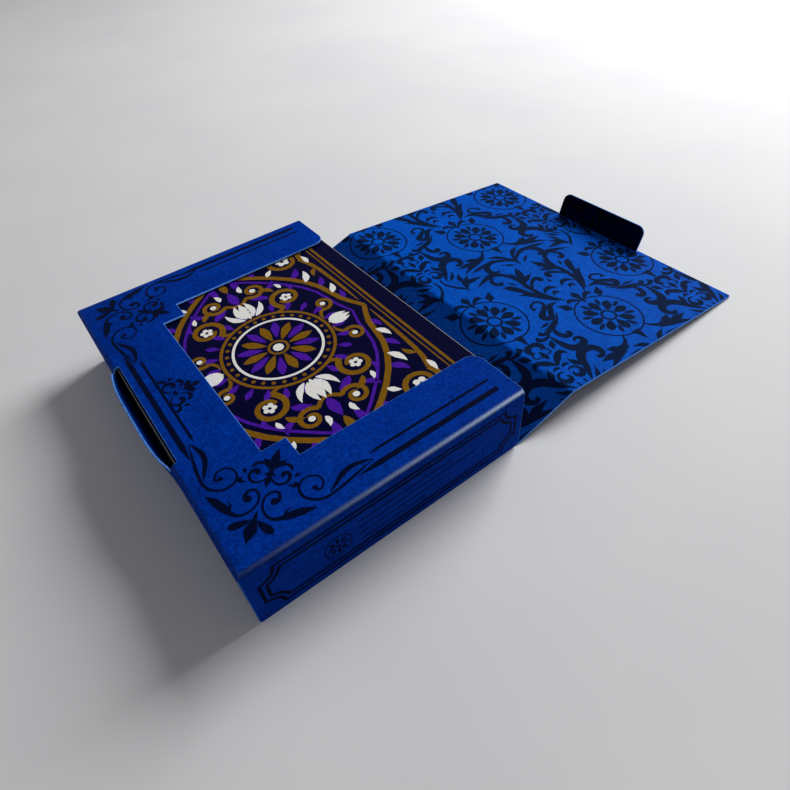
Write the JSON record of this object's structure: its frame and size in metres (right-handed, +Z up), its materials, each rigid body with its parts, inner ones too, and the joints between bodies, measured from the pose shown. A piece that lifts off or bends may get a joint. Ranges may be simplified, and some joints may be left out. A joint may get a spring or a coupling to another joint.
{
  "type": "playing card deck",
  "caption": "Poker-size playing cards lying face down in a side-opening paperboard tuck case with a window front, its hinged lid folded open and its tuck tab raised.",
  "frame": {"origin": "middle of the back panel's outer face, which rests on the table", "axes": "+X towards the hinge and the open lid, +Y along the hinge away from the viewer, +Z up out of the front panel"},
  "size_m": [0.1483, 0.092, 0.0174],
  "materials": {
    "case_board": "matte",
    "card_stock": "satin"
  },
  "bodies": {
    "case": {"tray": "case_board", "near_glue_flap": "case_board", "far_glue_flap": "case_board"},
    "spine": {"spine": "case_board"},
    "cover": {"cover": "case_board"},
    "tab": {"tuck_tab": "case_board"},
    "ace_of_hearts": {"ace_of_hearts": "card_stock"},
    "two_of_hearts": {"two_of_hearts": "card_stock"},
    "three_of_hearts": {"three_of_hearts": "card_stock"},
    "four_of_hearts": {"four_of_hearts": "card_stock"},
    "five_of_hearts": {"five_of_hearts": "card_stock"},
    "six_of_hearts": {"six_of_hearts": "card_stock"},
    "seven_of_hearts": {"seven_of_hearts": "card_stock"},
    "eight_of_hearts": {"eight_of_hearts": "card_stock"},
    "nine_of_hearts": {"nine_of_hearts": "card_stock"},
    "ten_of_hearts": {"ten_of_hearts": "card_stock"},
    "jack_of_hearts": {"jack_of_hearts": "card_stock"},
    "queen_of_hearts": {"queen_of_hearts": "card_stock"},
    "king_of_hearts": {"king_of_hearts": "card_stock"},
    "ace_of_clubs": {"ace_of_clubs": "card_stock"},
    "two_of_clubs": {"two_of_clubs": "card_stock"},
    "three_of_clubs": {"three_of_clubs": "card_stock"},
    "four_of_clubs": {"four_of_clubs": "card_stock"},
    "five_of_clubs": {"five_of_clubs": "card_stock"},
    "six_of_clubs": {"six_of_clubs": "card_stock"},
    "seven_of_clubs": {"seven_of_clubs": "card_stock"},
    "eight_of_clubs": {"eight_of_clubs": "card_stock"},
    "nine_of_clubs": {"nine_of_clubs": "card_stock"},
    "ten_of_clubs": {"ten_of_clubs": "card_stock"},
    "jack_of_clubs": {"jack_of_clubs": "card_stock"},
    "queen_of_clubs": {"queen_of_clubs": "card_stock"},
    "king_of_clubs": {"king_of_clubs": "card_stock"},
    "ace_of_diamonds": {"ace_of_diamonds": "card_stock"},
    "two_of_diamonds": {"two_of_diamonds": "card_stock"},
    "three_of_diamonds": {"three_of_diamonds": "card_stock"},
    "four_of_diamonds": {"four_of_diamonds": "card_stock"},
    "five_of_diamonds": {"five_of_diamonds": "card_stock"},
    "six_of_diamonds": {"six_of_diamonds": "card_stock"},
    "seven_of_diamonds": {"seven_of_diamonds": "card_stock"},
    "eight_of_diamonds": {"eight_of_diamonds": "card_stock"},
    "nine_of_diamonds": {"nine_of_diamonds": "card_stock"},
    "ten_of_diamonds": {"ten_of_diamonds": "card_stock"},
    "jack_of_diamonds": {"jack_of_diamonds": "card_stock"},
    "queen_of_diamonds": {"queen_of_diamonds": "card_stock"},
    "king_of_diamonds": {"king_of_diamonds": "card_stock"},
    "ace_of_spades": {"ace_of_spades": "card_stock"},
    "two_of_spades": {"two_of_spades": "card_stock"},
    "three_of_spades": {"three_of_spades": "card_stock"},
    "four_of_spades": {"four_of_spades": "card_stock"},
    "five_of_spades": {"five_of_spades": "card_stock"},
    "six_of_spades": {"six_of_spades": "card_stock"},
    "seven_of_spades": {"seven_of_spades": "card_stock"},
    "eight_of_spades": {"eight_of_spades": "card_stock"},
    "nine_of_spades": {"nine_of_spades": "card_stock"},
    "ten_of_spades": {"ten_of_spades": "card_stock"},
    "jack_of_spades": {"jack_of_spades": "card_stock"},
    "queen_of_spades": {"queen_of_spades": "card_stock"},
    "king_of_spades": {"king_of_spades": "card_stock"},
    "joker_red": {"joker_red": "card_stock"},
    "joker_black": {"joker_black": "card_stock"}
  },
  "joints": [
    {"name": "crease_back", "type": "hinge", "parent": "case", "child": "spine", "pos_m": [0.03267, 0, 0.00021], "axis": [0, -1, 0], "range_deg": [0, 72.6]},
    {"name": "crease_cover", "type": "hinge", "parent": "spine", "child": "cover", "pos_m": [0.04946, 0, 0.00547], "axis": [0, -1, 0], "range_deg": [0, 112.04]},
    {"name": "crease_tab", "type": "hinge", "parent": "cover", "child": "tab", "pos_m": [0.11353, 0, 0.00027], "axis": [0, -1, 0], "range_deg": [-73.16, 12]},
    {"name": "slide_joker_black", "type": "slide", "parent": "case", "child": "joker_black", "axis": [-1, 0, 0], "range_m": [-0.064, 0]},
    {"name": "slide_joker_red", "type": "slide", "parent": "case", "child": "joker_red", "axis": [-1, 0, 0], "range_m": [-0.064, 0]},
    {"name": "slide_king_of_spades", "type": "slide", "parent": "case", "child": "king_of_spades", "axis": [-1, 0, 0], "range_m": [-0.064, 0]},
    {"name": "slide_queen_of_spades", "type": "slide", "parent": "case", "child": "queen_of_spades", "axis": [-1, 0, 0], "range_m": [-0.064, 0]},
    {"name": "slide_jack_of_spades", "type": "slide", "parent": "case", "child": "jack_of_spades", "axis": [-1, 0, 0], "range_m": [-0.064, 0]},
    {"name": "slide_ten_of_spades", "type": "slide", "parent": "case", "child": "ten_of_spades", "axis": [-1, 0, 0], "range_m": [-0.064, 0]},
    {"name": "slide_nine_of_spades", "type": "slide", "parent": "case", "child": "nine_of_spades", "axis": [-1, 0, 0], "range_m": [-0.064, 0]},
    {"name": "slide_eight_of_spades", "type": "slide", "parent": "case", "child": "eight_of_spades", "axis": [-1, 0, 0], "range_m": [-0.064, 0]},
    {"name": "slide_seven_of_spades", "type": "slide", "parent": "case", "child": "seven_of_spades", "axis": [-1, 0, 0], "range_m": [-0.064, 0]},
    {"name": "slide_six_of_spades", "type": "slide", "parent": "case", "child": "six_of_spades", "axis": [-1, 0, 0], "range_m": [-0.064, 0]},
    {"name": "slide_five_of_spades", "type": "slide", "parent": "case", "child": "five_of_spades", "axis": [-1, 0, 0], "range_m": [-0.064, 0]},
    {"name": "slide_four_of_spades", "type": "slide", "parent": "case", "child": "four_of_spades", "axis": [-1, 0, 0], "range_m": [-0.064, 0]},
    {"name": "slide_three_of_spades", "type": "slide", "parent": "case", "child": "three_of_spades", "axis": [-1, 0, 0], "range_m": [-0.064, 0]},
    {"name": "slide_two_of_spades", "type": "slide", "parent": "case", "child": "two_of_spades", "axis": [-1, 0, 0], "range_m": [-0.064, 0]},
    {"name": "slide_ace_of_spades", "type": "slide", "parent": "case", "child": "ace_of_spades", "axis": [-1, 0, 0], "range_m": [-0.064, 0]},
    {"name": "slide_king_of_diamonds", "type": "slide", "parent": "case", "child": "king_of_diamonds", "axis": [-1, 0, 0], "range_m": [-0.064, 0]},
    {"name": "slide_queen_of_diamonds", "type": "slide", "parent": "case", "child": "queen_of_diamonds", "axis": [-1, 0, 0], "range_m": [-0.064, 0]},
    {"name": "slide_jack_of_diamonds", "type": "slide", "parent": "case", "child": "jack_of_diamonds", "axis": [-1, 0, 0], "range_m": [-0.064, 0]},
    {"name": "slide_ten_of_diamonds", "type": "slide", "parent": "case", "child": "ten_of_diamonds", "axis": [-1, 0, 0], "range_m": [-0.064, 0]},
    {"name": "slide_nine_of_diamonds", "type": "slide", "parent": "case", "child": "nine_of_diamonds", "axis": [-1, 0, 0], "range_m": [-0.064, 0]},
    {"name": "slide_eight_of_diamonds", "type": "slide", "parent": "case", "child": "eight_of_diamonds", "axis": [-1, 0, 0], "range_m": [-0.064, 0]},
    {"name": "slide_seven_of_diamonds", "type": "slide", "parent": "case", "child": "seven_of_diamonds", "axis": [-1, 0, 0], "range_m": [-0.064, 0]},
    {"name": "slide_six_of_diamonds", "type": "slide", "parent": "case", "child": "six_of_diamonds", "axis": [-1, 0, 0], "range_m": [-0.064, 0]},
    {"name": "slide_five_of_diamonds", "type": "slide", "parent": "case", "child": "five_of_diamonds", "axis": [-1, 0, 0], "range_m": [-0.064, 0]},
    {"name": "slide_four_of_diamonds", "type": "slide", "parent": "case", "child": "four_of_diamonds", "axis": [-1, 0, 0], "range_m": [-0.064, 0]},
    {"name": "slide_three_of_diamonds", "type": "slide", "parent": "case", "child": "three_of_diamonds", "axis": [-1, 0, 0], "range_m": [-0.064, 0]},
    {"name": "slide_two_of_diamonds", "type": "slide", "parent": "case", "child": "two_of_diamonds", "axis": [-1, 0, 0], "range_m": [-0.064, 0]},
    {"name": "slide_ace_of_diamonds", "type": "slide", "parent": "case", "child": "ace_of_diamonds", "axis": [-1, 0, 0], "range_m": [-0.064, 0]},
    {"name": "slide_king_of_clubs", "type": "slide", "parent": "case", "child": "king_of_clubs", "axis": [-1, 0, 0], "range_m": [-0.064, 0]},
    {"name": "slide_queen_of_clubs", "type": "slide", "parent": "case", "child": "queen_of_clubs", "axis": [-1, 0, 0], "range_m": [-0.064, 0]},
    {"name": "slide_jack_of_clubs", "type": "slide", "parent": "case", "child": "jack_of_clubs", "axis": [-1, 0, 0], "range_m": [-0.064, 0]},
    {"name": "slide_ten_of_clubs", "type": "slide", "parent": "case", "child": "ten_of_clubs", "axis": [-1, 0, 0], "range_m": [-0.064, 0]},
    {"name": "slide_nine_of_clubs", "type": "slide", "parent": "case", "child": "nine_of_clubs", "axis": [-1, 0, 0], "range_m": [-0.064, 0]},
    {"name": "slide_eight_of_clubs", "type": "slide", "parent": "case", "child": "eight_of_clubs", "axis": [-1, 0, 0], "range_m": [-0.064, 0]},
    {"name": "slide_seven_of_clubs", "type": "slide", "parent": "case", "child": "seven_of_clubs", "axis": [-1, 0, 0], "range_m": [-0.064, 0]},
    {"name": "slide_six_of_clubs", "type": "slide", "parent": "case", "child": "six_of_clubs", "axis": [-1, 0, 0], "range_m": [-0.064, 0]},
    {"name": "slide_five_of_clubs", "type": "slide", "parent": "case", "child": "five_of_clubs", "axis": [-1, 0, 0], "range_m": [-0.01628, 0]},
    {"name": "slide_four_of_clubs", "type": "slide", "parent": "case", "child": "four_of_clubs", "axis": [-1, 0, 0], "range_m": [-0.01533, 0]},
    {"name": "slide_three_of_clubs", "type": "slide", "parent": "case", "child": "three_of_clubs", "axis": [-1, 0, 0], "range_m": [-0.01437, 0]},
    {"name": "slide_two_of_clubs", "type": "slide", "parent": "case", "child": "two_of_clubs", "axis": [-1, 0, 0], "range_m": [-0.01341, 0]},
    {"name": "slide_ace_of_clubs", "type": "slide", "parent": "case", "child": "ace_of_clubs", "axis": [-1, 0, 0], "range_m": [-0.01245, 0]},
    {"name": "slide_king_of_hearts", "type": "slide", "parent": "case", "child": "king_of_hearts", "axis": [-1, 0, 0], "range_m": [-0.0115, 0]},
    {"name": "slide_queen_of_hearts", "type": "slide", "parent": "case", "child": "queen_of_hearts", "axis": [-1, 0, 0], "range_m": [-0.01054, 0]},
    {"name": "slide_jack_of_hearts", "type": "slide", "parent": "case", "child": "jack_of_hearts", "axis": [-1, 0, 0], "range_m": [-0.00958, 0]},
    {"name": "slide_ten_of_hearts", "type": "slide", "parent": "case", "child": "ten_of_hearts", "axis": [-1, 0, 0], "range_m": [-0.00863, 0]},
    {"name": "slide_nine_of_hearts", "type": "slide", "parent": "case", "child": "nine_of_hearts", "axis": [-1, 0, 0], "range_m": [-0.00767, 0]},
    {"name": "slide_eight_of_hearts", "type": "slide", "parent": "case", "child": "eight_of_hearts", "axis": [-1, 0, 0], "range_m": [-0.00671, 0]},
    {"name": "slide_seven_of_hearts", "type": "slide", "parent": "case", "child": "seven_of_hearts", "axis": [-1, 0, 0], "range_m": [-0.00575, 0]},
    {"name": "slide_six_of_hearts", "type": "slide", "parent": "case", "child": "six_of_hearts", "axis": [-1, 0, 0], "range_m": [-0.0048, 0]},
    {"name": "slide_five_of_hearts", "type": "slide", "parent": "case", "child": "five_of_hearts", "axis": [-1, 0, 0], "range_m": [-0.00384, 0]},
    {"name": "slide_four_of_hearts", "type": "slide", "parent": "case", "child": "four_of_hearts", "axis": [-1, 0, 0], "range_m": [-0.00288, 0]},
    {"name": "slide_three_of_hearts", "type": "slide", "parent": "case", "child": "three_of_hearts", "axis": [-1, 0, 0], "range_m": [-0.00192, 0]},
    {"name": "slide_two_of_hearts", "type": "slide", "parent": "case", "child": "two_of_hearts", "axis": [-1, 0, 0], "range_m": [-0.00097, 0]},
    {"name": "slide_ace_of_hearts", "type": "slide", "parent": "case", "child": "ace_of_hearts", "axis": [-1, 0, 0], "range_m": [-0.0001, 0]}
  ]
}
